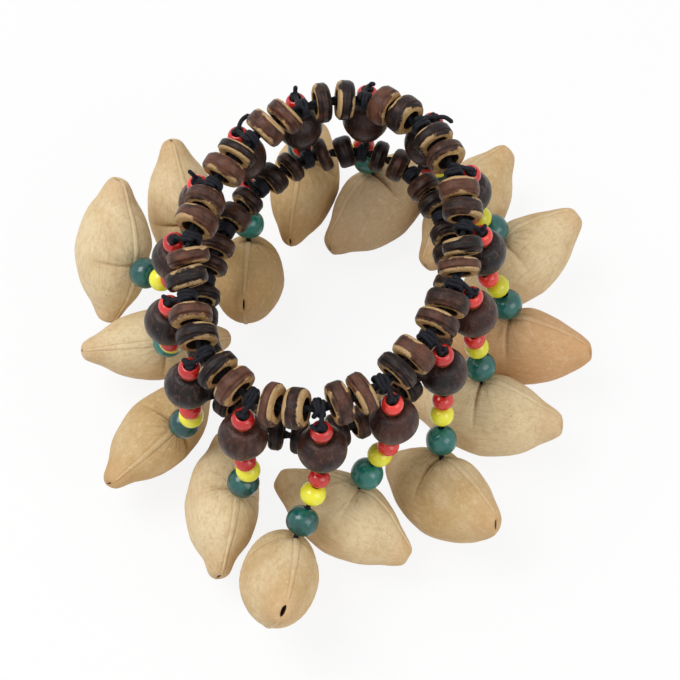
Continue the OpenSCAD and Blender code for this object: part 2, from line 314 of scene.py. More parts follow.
def tone(amount, low, high):
    """A colour that goes from low to high with the amount."""
    return amount.node("ShaderNodeMix", {"data_type": "RGBA"}, {0: amount, 6: low, 7: high}, 2)


def bump(height, depth, strength=1.0, under=None):
    """Fine relief, so many metres deep."""
    values = {"Height": height, "Distance": depth, "Strength": strength}
    if under:
        values["Normal"] = under
    return height.node("ShaderNodeBump", {}, values)


def new_finish(name):
    """A material, its principled shader, and a bench on which its other nodes are made."""
    material = bpy.data.materials.new(name)
    material.use_nodes = True
    shader = material.node_tree.nodes["Principled BSDF"]
    return material, shader, Wire(material.node_tree)


def wire_up(shader, **sockets):
    """Feeds shader sockets, with spaces in their names written as underscores."""
    for name, value in sockets.items():
        socket = shader.inputs[name.replace("_", " ")]
        if isinstance(value, Wire):
            value.tree.links.new(value.socket, socket)
        else:
            socket.default_value = value


def rgb(red, green, blue):
    """A display colour, from 0 to 255, as the linear colour that shaders take."""
    linear = [((v / 255 + 0.055) / 1.055) ** 2.4 for v in (red, green, blue)]
    return (*linear, 1.0)


def describe(*finishes):
    """Prints how many nodes each finish took."""
    for material in finishes:
        print(material.name, "finish of", len(material.node_tree.nodes), "nodes")


# %% [markdown]
# ## Nutshell finish
# The nutshells are pale, dry and matt, with fine fibres that run from the crease towards the tips.
# Broad clouds of colour and a fine mottle are plain noise. Brown stains round the crease, warmer
# tips, a faint pale band along the seam between two dark lines, a dark line in the crease and a
# dark mouth at each tip follow marks on the mesh. The pale band is partly the seam's own colour and
# partly a painted highlight on its ridge, the two dark lines are painted shade in the grooves
# beside it, and the dark crease line and the dark mouths are painted shade. A tint mark sets each
# shell's own tone, and on two shells it is painted shade. The fibres are noise that is stretched
# along the shell, the wrinkles by the crease are noise that is stretched across it, and the pleats
# that gather at the hole are noise over the direction from the hole, so they run out from it like
# rays. These three and the mottle also make the relief.

# %% Mix the nutshell finish
def nutshell_finish():
    material, shader, bench = new_finish("nutshell")
    place = mark_vector(bench, "place")
    tint = mark(bench, "tint")
    crease = mark(bench, "crease")
    seam = mark(bench, "seam")
    mouth = mark(bench, "mouth")
    gather = mark(bench, "gather")
    ends = mark(bench, "ends")
    pleats = grain(mark_vector(bench, "ray"), 6.0, 4.0, 0.65)
    fibres = grain(stretched(place, 0.06, 1.0, 1.0), 2.0, 4.0, 0.6)
    threads = grain(stretched(place, 0.025, 1.0, 1.0), 5.0, 3.0, 0.55)
    wrinkles = grain(stretched(place, 1.0, 0.2, 0.2), 0.9, 3.0, 0.6)
    clouds = grain(place, 0.12, 3.0)
    pores = grain(place, 3.5, 2.0)
    mottle = grain(place, 0.75, 5.0, 0.65)
    # The tint mark sets each shell's own tone. Its low value on the second nutshell darkens it and its
    # negative value on the fifteenth greys it: both are painted shade.
    base = tone(fade(clouds * 0.9 + tint * 0.6, 0.4, 1.0), rgb(202, 168, 116), rgb(234, 213, 172))
    base = tone(fade(tint, 0.7, 1.0) * 0.85, base, rgb(210, 158, 108))
    base = tone(fade(0.0 - tint, 0.0, 0.5) * 0.7, base, rgb(206, 184, 154))
    base = tone(fade(fibres, 0.42, 0.75) * 0.27, base, rgb(182, 142, 92))
    base = tone(fade(threads, 0.45, 0.8) * 0.16, base, rgb(160, 122, 78))
    base = tone(fade_out(threads, 0.25, 0.46, 0.3), base, rgb(246, 230, 196))
    base = tone(fade(mottle, 0.5, 0.72) * 0.32, base, rgb(190, 146, 94))
    base = tone(fade_out(mottle, 0.3, 0.46, 0.3), base, rgb(242, 222, 184))
    warm = fade(ends * 0.7 + clouds * 1.3 + mottle * 0.5, 0.95, 1.7)
    base = tone(warm * 0.38, base, rgb(196, 146, 94))
    stain = fade(crease * 1.1 + clouds * 0.5 + fibres * 0.4, 0.8, 1.5)
    base = tone(stain * 0.7, base, rgb(150, 108, 64))
    base = tone(fade(wrinkles, 0.48, 0.72) * fade(crease, 0.1, 0.7) * 0.4, base, rgb(124, 88, 54))
    base = tone(fade(pores, 0.64, 0.78) * 0.12, base, rgb(120, 86, 52))
    base = tone(fade(pleats, 0.5, 0.72) * gather * 0.5, base, rgb(126, 90, 56))
    base = tone(fade_out(pleats, 0.28, 0.46, 0.4) * gather, base, rgb(236, 214, 172))
    # Painted highlight and painted shade: the pale band on the raised seam is partly its own colour and
    # partly a painted highlight; the dark lines in the grooves beside it are painted shade.
    base = tone(fade(seam, 0.05, 0.9) * 0.16, base, rgb(240, 222, 184))
    base = tone(fade(0.0 - seam, 0.1, 1.0) * 0.3, base, rgb(140, 102, 62))
    # Painted shade: a dark line along the bottom of the crease.
    base = tone(fade(crease, 0.8, 1.0) * 0.85, base, rgb(86, 60, 38))
    # Painted shade: the mouth at each tip is dark inside its slit.
    base = tone(fade(mouth, 0.3, 0.9), base, rgb(70, 48, 32))
    relief = bump(fibres * 0.6 + threads * 0.4 + mottle * 0.7, 0.2 * MM, 0.6)
    relief = bump(wrinkles * fade(crease, 0.05, 0.6), 0.6 * MM, 0.6, relief)
    relief = bump(pleats * gather, 0.7 * MM, 0.7, relief)
    wire_up(shader, Base_Color=base, Roughness=0.6 + fibres * 0.2, Normal=relief)
    wire_up(shader, Specular_IOR_Level=0.3)
    return material


nut_skin = nutshell_finish()
describe(nut_skin)

# %% [markdown]
# ## Disc finish
# The discs are slices of a hard dark shell. The rim keeps the polished outside, nearly black-brown
# with fine turning lines and pale scratches, and the cut faces are left raw, golden and pitted,
# darkening towards the hole, which is painted shade. One mark says how raw a point is, another how
# worn its edge is, and noise frays the border between the two.

# %% Mix the disc finish
def disc_finish():
    material, shader, bench = new_finish("disc_shell")
    place = mark_vector(bench, "place")
    tint = mark(bench, "tint")
    raw = mark(bench, "raw")
    worn = mark(bench, "worn")
    hollow = mark(bench, "hollow")
    lines = grain(stretched(place, 0.1, 0.1, 1.0), 3.4, 4.0, 0.65)
    blotch = grain(place, 0.55, 4.0, 0.6)
    speck = grain(place, 2.0, 5.0, 0.7)
    polished = tone(fade(blotch * 0.9 + tint * 0.5, 0.5, 1.1), rgb(24, 16, 17), rgb(104, 66, 50))
    polished = tone(fade(lines, 0.52, 0.72) * 0.38, polished, rgb(136, 98, 70))
    polished = tone(fade_out(lines, 0.3, 0.46, 0.6), polished, rgb(20, 13, 14))
    cut = tone(fade(speck * 0.7 + blotch * 0.6, 0.45, 0.9), rgb(172, 124, 72), rgb(248, 212, 150))
    cut = tone(fade(speck, 0.55, 0.7) * 0.7, cut, rgb(78, 50, 32))
    # Painted shade: the cut faces darken towards the hole and inside it.
    cut = tone(fade(hollow + blotch * 0.5, 0.6, 1.1), cut, rgb(50, 33, 23))
    bare_and_lit = fade(raw + speck * 0.7 + blotch * 0.6, 0.95, 1.25)
    edge = fade(worn + blotch * 1.6 + speck * 0.7, 1.6, 2.0)
    rim = tone(speck, rgb(172, 126, 76), rgb(240, 208, 156))
    base = tone(edge * 0.85, tone(bare_and_lit, polished, cut), rim)
    relief = bump(speck * (bare_and_lit + edge * 0.3) + lines * (1.0 - bare_and_lit) * 0.3, 0.6 * MM, 0.9)
    wire_up(shader, Base_Color=base, Roughness=0.28 + bare_and_lit * 0.42 + lines * 0.12, Normal=relief)
    wire_up(shader, Specular_IOR_Level=0.2)
    return material


disc_skin = disc_finish()
describe(disc_skin)

# %% [markdown]
# ## Barrel finish
# The barrels are turned from dark wood and rubbed to a satin polish. Reddish patches and streaky
# grain show through the stain, and the wood is bare round the hole at each end. The streaks are
# noise that is stretched along the bore, because the wood is cut with its grain that way.

# %% Mix the barrel finish
def barrel_finish():
    material, shader, bench = new_finish("barrel_wood")
    place = mark_vector(bench, "place")
    tint = mark(bench, "tint")
    raw = mark(bench, "raw")
    figure = grain(stretched(place, 1.0, 1.0, 0.22), 0.9, 4.0, 0.6)
    patch = grain(place, 0.2, 2.0)
    speck = grain(place, 2.6, 3.0)
    base = tone(fade(patch + tint * 0.45, 0.5, 1.1), rgb(24, 16, 17), rgb(70, 38, 28))
    base = tone(fade(figure, 0.48, 0.7) * 0.6, base, rgb(17, 12, 14))
    base = tone(fade_out(figure, 0.32, 0.47, 0.55), base, rgb(98, 68, 54))
    base = tone(fade(speck, 0.64, 0.74) * 0.3, base, rgb(150, 112, 84))
    base = tone(fade(raw + speck * 0.6, 0.8, 1.1), base, rgb(182, 126, 76))
    relief = bump(figure * 0.7 + speck * 0.3, 0.5 * MM, 0.8)
    wire_up(shader, Base_Color=base, Roughness=0.24 + speck * 0.2 + raw * 0.3, Normal=relief)
    wire_up(shader, Specular_IOR_Level=0.24, Coat_Weight=0.08, Coat_Roughness=0.2)
    return material


barrel_skin = barrel_finish()
describe(barrel_skin)

# %% [markdown]
# ## Dyed bead finish
# The small wooden beads are dyed and waxed. Their colour is stronger where the dye pooled and paler
# where the grain let little in, and a soft gloss lies over it. In and round the bore they turn dark
# brown, which is painted shade. The three kinds differ only in their dye, so one function makes all
# three from a deep and a bright colour.

# %% Mix the three bead colours
def bead_finish(name, deep, bright):
    material, shader, bench = new_finish(name)
    place = mark_vector(bench, "place")
    tint = mark(bench, "tint")
    raw = mark(bench, "raw")
    figure = grain(stretched(place, 1.0, 1.0, 0.3), 1.4, 3.0, 0.6)
    patch = grain(place, 0.35, 2.0)
    base = tone(fade(patch * 0.6 + tint * 0.6 + figure * 0.3, 0.4, 1.0), deep, bright)
    # Painted shade: dark brown in and round the bore.
    base = tone(fade(raw + figure * 0.3, 0.8, 1.05) * 0.6, base, rgb(60, 40, 30))
    relief = bump(figure, 0.06 * MM, 0.4)
    wire_up(shader, Base_Color=base, Roughness=0.14 + figure * 0.14, Normal=relief)
    wire_up(shader, Specular_IOR_Level=0.65)
    return material


red_skin = bead_finish("red_bead", rgb(188, 26, 24), rgb(236, 54, 42))
yellow_skin = bead_finish("yellow_bead", rgb(212, 210, 20), rgb(248, 244, 58))
green_skin = bead_finish("green_bead", rgb(2, 62, 62), rgb(20, 116, 106))
describe(red_skin, yellow_skin, green_skin)

# %% [markdown]
# ## Cord finish
# Cord and elastic are black. Fine slanting threads are painted a little paler, a painted sheen for
# the light they catch, which keeps the knots from turning into one dark blot. Drawn as geometry the
# threads would be far too many, so they are relief in the finish.

# %% Mix the cord finish
def cord_finish(name, dark, light, rough):
    material, shader, bench = new_finish(name)
    place = mark_vector(bench, "place")
    threads = grain(stretched(place, 1.0, 1.0, 0.5), 5.0, 2.0)
    fuzz = grain(place, 9.0, 2.0)
    # Painted sheen: the threads are mixed towards the paler colour.
    base = tone(fade(threads * 0.7 + fuzz * 0.4, 0.4, 0.8), dark, light)
    relief = bump(threads + fuzz * 0.5, 0.12 * MM, 0.8)
    wire_up(shader, Base_Color=base, Roughness=rough + fuzz * 0.2, Normal=relief)
    wire_up(shader, Specular_IOR_Level=0.2)
    return material


cord_skin = cord_finish("cord", rgb(7, 8, 12), rgb(34, 36, 48), 0.45)
elastic_skin = cord_finish("elastic", rgb(6, 6, 8), rgb(22, 23, 29), 0.55)
describe(cord_skin, elastic_skin)

# %% [markdown]
# ## Turned beads
# A bead is turned on a lathe and drilled, so its skin is its half section carried round the bore:
# up the outside, over the rim and back down through the hole. A sphere with a hole cut through it
# would look alike, but a cut leaves ragged faces round the rim.

# %% Turn a bead
BEAD_SIDES = 40
RAW_RIM = 0.22 * MM
FLATTER = 0.86
FULLER = 0.94
PATTERN_SHIFT = 50


def turned_bead(piece, rng, origin, rows, profile, ripple):
    """Adds a bead: profile rows are radius, height and rawness, closed through the bore."""
    c, s, turn = circle(BEAD_SIDES)
    radius, height, raw = (np.array(column)[:, None] for column in zip(*profile))
    uneven = 1 + wobble(turn, rng, ripple)[None, :] + 0 * radius
    local = np.stack([radius * uneven * c, radius * uneven * s, height + 0 * uneven], -1)
    place = local / MM + rng.uniform(-PATTERN_SHIFT, PATTERN_SHIFT, 3)
    raw = raw + 0 * uneven
    piece.skin(origin + local @ rows, closed=True, place=place, raw=raw, tint=rng.uniform())


def round_profile(diameter, height, bore, steps=17):
    """Half section of a slightly flattened ball with a rounded rim at each end of its bore."""
    r, h = diameter / 2, height / 2
    open_angle = math.acos((bore + RAW_RIM) / r)
    rows = []
    for a in np.linspace(-open_angle, open_angle, steps):
        rise = math.copysign(abs(math.sin(a)) ** FLATTER, a)
        rows.append((r * math.cos(a) ** FULLER, h * rise, 0.0))
    rim = rows[-1][1]
    rows.append((bore + 0.4 * RAW_RIM, rim - 0.1 * RAW_RIM, 0.6))
    rows.append((bore, rim - 1.5 * RAW_RIM, 1.0))
    rows.append((bore, -rim + 1.5 * RAW_RIM, 1.0))
    rows.append((bore + 0.4 * RAW_RIM, -rim + 0.1 * RAW_RIM, 0.6))
    return rows


# %% [markdown]
# ## Red and yellow beads
# The fifteen beads of a row share a node, so they are one piece. Their size is measured from the
# solid that they stand for. A little ripple, its own size and its own turn keep each bead from
# being a copy of the next. The top red beads have a wider bore, because the knot sits in it.

# %% Turn the red and yellow beads
BEAD_MARKS = dict(place=3, raw=1, tint=1)
CORD_BORE = 0.8 * MM
KNOT_BORE = 1.25 * MM
BEAD_WIDTHS = (0.97, 1.02)
BEAD_HEIGHTS = (0.99, 1.03)
BEAD_TURN = 0.6
BEAD_RIPPLE = 0.012


def span(points, axis):
    """Length of a solid along a direction."""
    reach = points @ axis
    return reach.max() - reach.min()


def round_beads(name, node, finish, seed, places, bore=CORD_BORE):
    """One piece of round beads; places hold each one's middle, bore direction and outward side."""
    rng = np.random.default_rng(seed)
    piece = Piece(**BEAD_MARKS)
    solid = min(loose_solids(node), key=lambda p: np.linalg.norm(middle(p) - places[0][0]))
    height = span(solid, places[0][1])
    diameter = span(solid, unit(np.cross(places[0][1], places[0][2])))
    for origin, axis, side in places:
        size = rng.uniform(*BEAD_WIDTHS)
        flat = rng.uniform(*BEAD_HEIGHTS)
        rows = basis(axis, side + BEAD_TURN * rng.normal(size=3))
        profile = round_profile(diameter * size, height * flat, bore)
        turned_bead(piece, rng, origin, rows, profile, BEAD_RIPPLE)
    print(name, len(places), "beads of", round(diameter / MM, 1), "by", round(height / MM, 1), "mm")
    return piece.make(name, finish)


def band_piece(obj, slot, *nodes):
    """A piece that stays on the band, in place of its nodes."""
    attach(obj, "band")
    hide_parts(*nodes)


places = [(s.top, s.rise, s.out) for s in strands]
top_reds = round_beads("top_reds", "top_red_beads", red_skin, 11, places, KNOT_BORE)
band_piece(top_reds, "red_bead", "top_red_beads")
places = [(s.red, s.drop, s.out) for s in strands]
lower_reds = round_beads("lower_reds", "lower_red_beads", red_skin, 12, places)
band_piece(lower_reds, "red_bead", "lower_red_beads")
places = [(s.yellow, s.drop, s.out) for s in strands]
yellows = round_beads("yellows", "yellow_beads", yellow_skin, 13, places)
band_piece(yellows, "yellow_bead", "yellow_beads")

# %% [markdown]
# ## Green beads
# A green bead sits on each nutshell and swings with it, so each is a piece of its own on its own
# body.

# %% Turn the green beads
for s in strands:
    node = "green_bead_" + s.number
    places = [(s.green, s.hang, s.out)]
    green = round_beads("green_" + s.number, node, green_skin, 20 + s.index, places)
    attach(green, s.body)
    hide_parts(node)

# %% [markdown]
# ## Barrels
# A barrel is turned the same way, with a curved side, softly rounded ends and a bare ring of wood
# where the drill came through.

# %% Turn the barrels
BARREL_BORE = 1.1 * MM
BARREL_CORNER = 1.3 * MM
BARREL_BULGE = 2.3
BARREL_RIPPLE = 0.022
BARREL_TURN = 0.8
BARREL_WIDTHS = (0.965, 0.995)
BARREL_ENDS = (0.7, 0.76)
BARREL_HEIGHT = 0.985


def barrel_profile(diameter, end_diameter, height, steps=15):
    """Half section of a barrel whose side bulges from its end diameter to its full diameter."""
    r, e, h = diameter / 2, end_diameter / 2, height / 2
    rows = []
    for t in np.linspace(-1, 1, steps):
        bulge = e + (r - e) * (1 - abs(t) ** BARREL_BULGE)
        rows.append((bulge, t * (h - BARREL_CORNER), 0.0))
    over = [(0.955 * e, h - 0.6 * BARREL_CORNER, 0.0), (0.88 * e, h - 0.32 * BARREL_CORNER, 0.0)]
    over += [(0.78 * e, h - 0.13 * BARREL_CORNER, 0.0), (0.66 * e, h - 0.03 * BARREL_CORNER, 0.1)]
    over += [(BARREL_BORE + 0.8 * MM, h, 0.4), (BARREL_BORE + 0.4 * MM, h - 0.08 * MM, 0.8)]
    over += [(BARREL_BORE, h - 0.5 * MM, 1.0)]
    rows += over
    rows += [(radius, -height, raw) for radius, height, raw in reversed(over)]
    return rows


barrels = Piece(**BEAD_MARKS)
rng = np.random.default_rng(31)
solids = loose_solids("barrel_beads")
for s in strands:
    solid = min(solids, key=lambda p: np.linalg.norm(middle(p) - s.barrel))
    height = span(solid, s.rise)
    wide = span(solid, s.along)
    rows = basis(s.rise, s.out + BARREL_TURN * rng.normal(size=3))
    belly, end = wide * rng.uniform(*BARREL_WIDTHS), wide * rng.uniform(*BARREL_ENDS)
    profile = barrel_profile(belly, end, height * BARREL_HEIGHT)
    turned_bead(barrels, rng, s.barrel, rows, profile, BARREL_RIPPLE)
band_piece(barrels.make("barrels", barrel_skin), "barrel_wood", "barrel_beads")
print("barrels", round(wide / MM, 1), "by", round(height / MM, 1), "mm")

# %% [markdown]
# ## Shell discs
# The discs are sawn by hand, so no two are alike: they differ in thickness, are not quite round,
# their faces are not quite parallel, and their edges are worn and chipped. The section is closed
# through the hole like a bead's. The chips are bites out of the edge at random places, and the saw
# marks are a ripple over the faces. Both are moves of the points, so that they also show against
# the light, where relief in the finish would not.

# %% Saw a disc
DISC_SIDES = 52
DISC_MARKS = dict(place=3, raw=1, worn=1, hollow=1, tint=1)
DISC_EDGE = 0.64 * MM
DISC_WIDTHS = (0.92, 1.0)
DISC_DEPTHS = (0.7, 1.04)
SAW_DEPTH = 0.14 * MM
SAW_SIZE = 0.5 * MM
CHIP_WIDTHS = (0.1, 0.3)
CHIP_DEPTHS = (0.1, 0.5)
RIM_RIPPLE, HOLE_RIPPLE, FACE_RIPPLE = 0.024, 0.07, 0.05


def disc_rows(r, hole, t, edge):
    """Half section of a disc: radius, height, rawness, wear and hollow of each point."""
    h = t / 2
    inner = r - 1.4 * edge
    upper = [(r, 0.2 * h, 0, 0, 0), (0.993 * r, 0.55 * h, 0, 0.1, 0)]
    upper += [(0.975 * r, h - 1.4 * edge, 0.05, 0.35, 0), (r - 0.35 * edge, h - 0.75 * edge, 0.2, 0.8, 0)]
    upper += [(r - 0.75 * edge, h - 0.25 * edge, 0.55, 1.0, 0), (inner, h, 0.85, 0.7, 0)]
    for f in (0.78, 0.56, 0.34, 0.16):
        upper.append((hole + f * (inner - hole), h, 1, 0.2, 0.5 * (1 - f)))
    upper += [(hole + 0.2 * MM, h - 0.12 * MM, 1, 0.1, 0.7)]
    upper += [(hole, h - 0.5 * MM, 0.9, 0, 1), (hole, 0.3 * h, 0.9, 0, 1)]
    return upper + [(radius, -height, *marks) for radius, height, *marks in reversed(upper)]


def bite(turn, rng, narrow, wide):
    """A dent at a random place round a ring."""
    gap = np.angle(np.exp(1j * (turn - rng.uniform(0, 2 * math.pi))))
    return np.exp(-(gap / rng.uniform(narrow, wide)) ** 2)[None, :]


def disc(piece, rng, origin, rows, diameter, hole, thickness, wear, bare_and_lit):
    """Adds one disc, with its own size, wedge, saw marks and chips. The last value says how raw its
    faces are; below 1 it also darkens them as painted shade.
    """
    c, s, turn = circle(DISC_SIDES)
    r = diameter / 2 * rng.uniform(*DISC_WIDTHS)
    section = disc_rows(r, hole, thickness * rng.uniform(*DISC_DEPTHS), DISC_EDGE)
    columns = (np.array(column)[:, None] + 0 * turn for column in zip(*section))
    radius, height, raw, worn, hollow = columns
    outer = (radius - hole) / (radius.max() - hole)
    side = np.sign(height)
    patchy = np.clip(0.6 + wobble(turn, rng, 0.7, (1, 2, 3, 5)), 0.05, 1.3)[None, :]
    worn = worn * patchy * np.where(side > 0, *rng.uniform(*wear, 2))
    # Painted shade: a last value below 1 lowers the rawness and, further down, the tint, which darkens
    # the disc.
    raw = bare_and_lit * np.where(raw < 0.9, raw * (0.35 + 0.65 * patchy), raw)
    radius = radius * (1 + outer * wobble(turn, rng, RIM_RIPPLE)[None, :])
    radius = radius * (1 + (1 - outer) * wobble(turn, rng, HOLE_RIPPLE)[None, :])
    height = height * (1 + wobble(turn, rng, FACE_RIPPLE, (1, 2, 3))[None, :] * raw)
    sawn = swelling(np.stack([radius * c, radius * s, height], -1), rng, SAW_SIZE)
    height = height - side * SAW_DEPTH * raw * np.abs(sawn)
    for face in (-1, 1):
        for _ in range(rng.integers(2, 5)):
            dent = bite(turn, rng, *CHIP_WIDTHS) * (side == face) * outer ** 4 * (worn > 0.2)
            chip = dent * rng.uniform(*CHIP_DEPTHS) * MM
            height = height - face * chip
            radius = radius - 0.7 * chip
            worn = worn + 0.8 * chip / MM
    local = np.stack([radius * c, radius * s, height], -1)
    marks = dict(place=local / MM + rng.uniform(-PATTERN_SHIFT, PATTERN_SHIFT, 3), raw=raw, worn=worn)
    marks.update(hollow=hollow, tint=bare_and_lit * rng.uniform())
    piece.skin(origin + local @ rows, closed=True, **marks)


# %% [markdown]
# ## Rows of discs
# The two discs between neighbouring strands lean together, as they do on a slack elastic, so they
# stay clear of each other. The lower discs sit under the barrels, where they lean less and are less
# worn, and their faces are painted darker and less golden as painted shade. Where a disc stands and
# how it faces comes from its solid: it faces the way in which the solid is thinnest.

# %% String the two rows
OWN_LEAN = 0.05


def flat_axis(points):
    """Direction in which a disc is thinnest."""
    spread = np.cov((points - points.mean(0)).T)
    return np.linalg.eigh(spread)[1][:, 0]


def in_pairs(solids):
    """The discs of a row in order round the loop, with the two of each pair one after the other."""
    ring = sorted(solids, key=lambda p: math.atan2(middle(p)[1], middle(p)[0]))
    first, after, before = middle(ring[0]), middle(ring[1]), middle(ring[-1])
    if np.linalg.norm(first - after) > np.linalg.norm(first - before):
        ring = ring[1:] + ring[:1]
    return ring


def disc_row(name, node, seed, wear, lean, holes, bare_and_lit):
    """One piece of all discs of a row. Two of a pair lean together, and each a little by itself."""
    rng = np.random.default_rng(seed)
    piece = Piece(**DISC_MARKS)
    solids = loose_solids(node)
    for k, solid in enumerate(in_pairs(solids)):
        if k % 2 == 0:
            together = rng.uniform(-lean, lean, 3)
        axis = flat_axis(solid)
        axis = axis * np.sign(axis @ np.cross(UP, middle(solid)))
        diameter, thickness = span(solid, basis(axis, UP)[0]), span(solid, axis)
        rows = basis(axis + together + rng.uniform(-OWN_LEAN, OWN_LEAN, 3), UP)
        hole = rng.uniform(*holes) * MM
        disc(piece, rng, middle(solid), rows, diameter, hole, thickness, wear, bare_and_lit)
    band_piece(piece.make(name, disc_skin), "disc_shell", node)
    print(name, len(solids), "discs of", round(diameter / MM, 1), "by", round(thickness / MM, 1), "mm")


disc_row("upper_discs", "upper_disc_beads", 41, wear=(0.3, 2.0), lean=0.31, holes=(2.0, 2.4), bare_and_lit=1.0)
# The lower row's last value, 0.6, darkens its discs and dulls their golden faces: painted shade under the
# barrels.
disc_row("lower_discs", "lower_disc_beads", 42, wear=(0.0, 0.4), lean=0.08, holes=(1.75, 2.2), bare_and_lit=0.6)

# %% [markdown]
# ## Cord along a path
# A cord is a circle carried along a path, in a frame that turns as little as it can from one point
# to the next. A curve with a round bevel would give the same shape, but only a mesh can carry the
# marks from which the finish draws its threads.

# %% Lay a cord along a path
def carried(path, loop=False):
    """Two directions across a path at each of its points."""
    ahead = np.roll(path, -1, 0) - np.roll(path, 1, 0)
    if not loop:
        ahead[0], ahead[-1] = path[1] - path[0], path[-1] - path[-2]
    tangents = ahead / np.linalg.norm(ahead, axis=1)[:, None]
    side = np.cross(tangents[0], UP if abs(tangents[0] @ UP) < 0.9 else np.array([1.0, 0, 0]))
    sides = []
    for tangent in tangents:
        side = unit(side - tangent * (side @ tangent))
        sides.append(side)
    return np.array(sides), np.cross(tangents, sides)


def rounded(points, steps=6):
    """A smooth path through points."""
    p = np.array(points)
    p = np.vstack([2 * p[0] - p[1], p, 2 * p[-1] - p[-2]])
    path = []
    for a, b, c, d in zip(p[:-3], p[1:-2], p[2:-1], p[3:]):
        for t in np.linspace(0, 1, steps, endpoint=False):
            path.append(0.5 * (2 * b + (c - a) * t + (2 * a - 5 * b + 4 * c - d) * t * t
                               + (3 * b - a - 3 * c + d) * t ** 3))
    path.append(p[-2])
    return np.array(path)


CORD_MARKS = dict(place=3)
CORD_SIDES = 10
LAY = 1.2 * MM


def lengths(path):
    """Distance along a path from its start to each point."""
    return np.concatenate([[0], np.cumsum(np.linalg.norm(np.diff(path, axis=0), axis=1))])


def cord(piece, path, radius, loop=False, taper=0.0):
    """Adds a cord along a path; a taper rounds its two ends."""
    c, s, turn = circle(CORD_SIDES)
    u, v = carried(path, loop)
    length = lengths(path)
    thick = np.full(len(path), radius)
    if taper:
        left = np.minimum(length, length[-1] - length)
        thick = radius * np.sqrt(np.clip(left / taper, 0.06, 1))
    around = c[:, None] * u[:, None] + s[:, None] * v[:, None]
    rings = path[:, None] + thick[:, None, None] * around
    lay = turn[None, :] + length[:, None] / LAY
    place = np.stack([np.cos(lay), np.sin(lay), 0 * lay + length[:, None] / MM], -1) + path[0] / MM
    piece.skin(rings, closed=loop, capped=not loop, place=place)


# %% [markdown]
# ## Elastic loops
# Each row of discs is strung on two turns of thin elastic that twist round each other. The loop is
# an oval, so its two half widths and its direction are enough to draw it, and they are read off the
# node's own points. The two turns wind round that oval on opposite sides of it, a little thicker
# than the room they have, because they press on each other.

# %% Twist the elastics
TWIST_STEPS = 220
TWISTS = 19
STRAND_R = 0.54 * MM
PRESSED = 1.08


class Loop:
    """The oval that an elastic follows, measured from its node."""

    def __init__(self, node):
        points = corners(node)
        self.centre = middle(points)
        flat = (points - self.centre)[:, :2]
        self.long = np.linalg.eigh(np.cov(flat.T))[1][:, 1]
        self.short = np.array([-self.long[1], self.long[0]])
        self.half = span(points, UP) / 2
        self.a = np.abs(flat @ self.long).max() - self.half
        self.b = np.abs(flat @ self.short).max() - self.half

    def at(self, angle):
        flat = self.a * math.cos(angle) * self.long + self.b * math.sin(angle) * self.short
        return self.centre + np.array([*flat, 0.0])

    def beside(self, out):
        """Point of the loop from which a direction points straight out."""
        return self.at(math.atan2(self.b * (out[:2] @ self.short), self.a * (out[:2] @ self.long)))


upper_loop, lower_loop = Loop("upper_elastic"), Loop("lower_elastic")
for name, loop in (("upper_elastic", upper_loop), ("lower_elastic", lower_loop)):
    angles = np.linspace(0, 2 * math.pi, TWIST_STEPS, endpoint=False)
    line = np.array([loop.at(a) for a in angles])
    u, v = carried(line, True)
    piece = Piece(**CORD_MARKS)
    for strand in (0, math.pi):
        turn = (TWISTS * angles + strand)[:, None]
        path = line + STRAND_R * (np.cos(turn) * u + np.sin(turn) * v)
        cord(piece, path, STRAND_R * PRESSED, loop=True)
    band_piece(piece.make(name + "_twist", elastic_skin), "elastic", name)
    print(name, "oval of", round(2 * loop.a / MM, 1), "by", round(2 * loop.b / MM, 1), "mm")

# %% [markdown]
# ## Strand cords
# Each strand is lashed to the upper elastic with a few turns, knotted, threaded through the red
# bead and the barrel, lashed to the lower elastic in the same way and threaded through the next two
# beads. A ball would do for the knot from afar, but here it is drawn as what it is, an overhand
# knot, whose centre line is a trefoil. A cut tail sticks out of it, longer on four of the strands.

# %% Lash, knot and thread the strands
CORD_R = 0.55 * MM
LASH_R = 1.6 * MM
LASH_STEP = 0.9 * MM
LASH_UNEVEN = 0.14
LASH_SLACK = 0.06 * MM
LASH_TURNS = np.radians(np.arange(-60, 860, 40))
LOWER_TURNS = np.radians(np.arange(50, 1040, 40))
KNOT_R = 0.62 * MM
KNOT_OVER_BEAD = 1.75 * MM
BARREL_FOOT = 4.9 * MM
RED_HEAD = 2.9 * MM
TAIL = {1: 5.0 * MM, 13: 4.6 * MM, 2: 3.4 * MM, 7: 2.8 * MM}


def overhand(centre, rows, size, flat=0.8):
    """Closed centre line of a pulled knot."""
    t = np.linspace(0, 2 * math.pi, 60, endpoint=False)
    x = (np.sin(t) + 2 * np.sin(2 * t)) / 3
    y = (np.cos(t) - 2 * np.cos(2 * t)) / 3
    return centre + size * np.stack([x, y, -flat * np.sin(3 * t)], -1) @ rows


def wound(s, centre, turns, across, radii):
    """Turns of a strand round an elastic, each at its own distance across and from the centre."""
    around = np.outer(np.cos(turns), s.out) + np.outer(np.sin(turns), UP)
    return list(centre + radii[:, None] * around + np.outer(across, s.along))


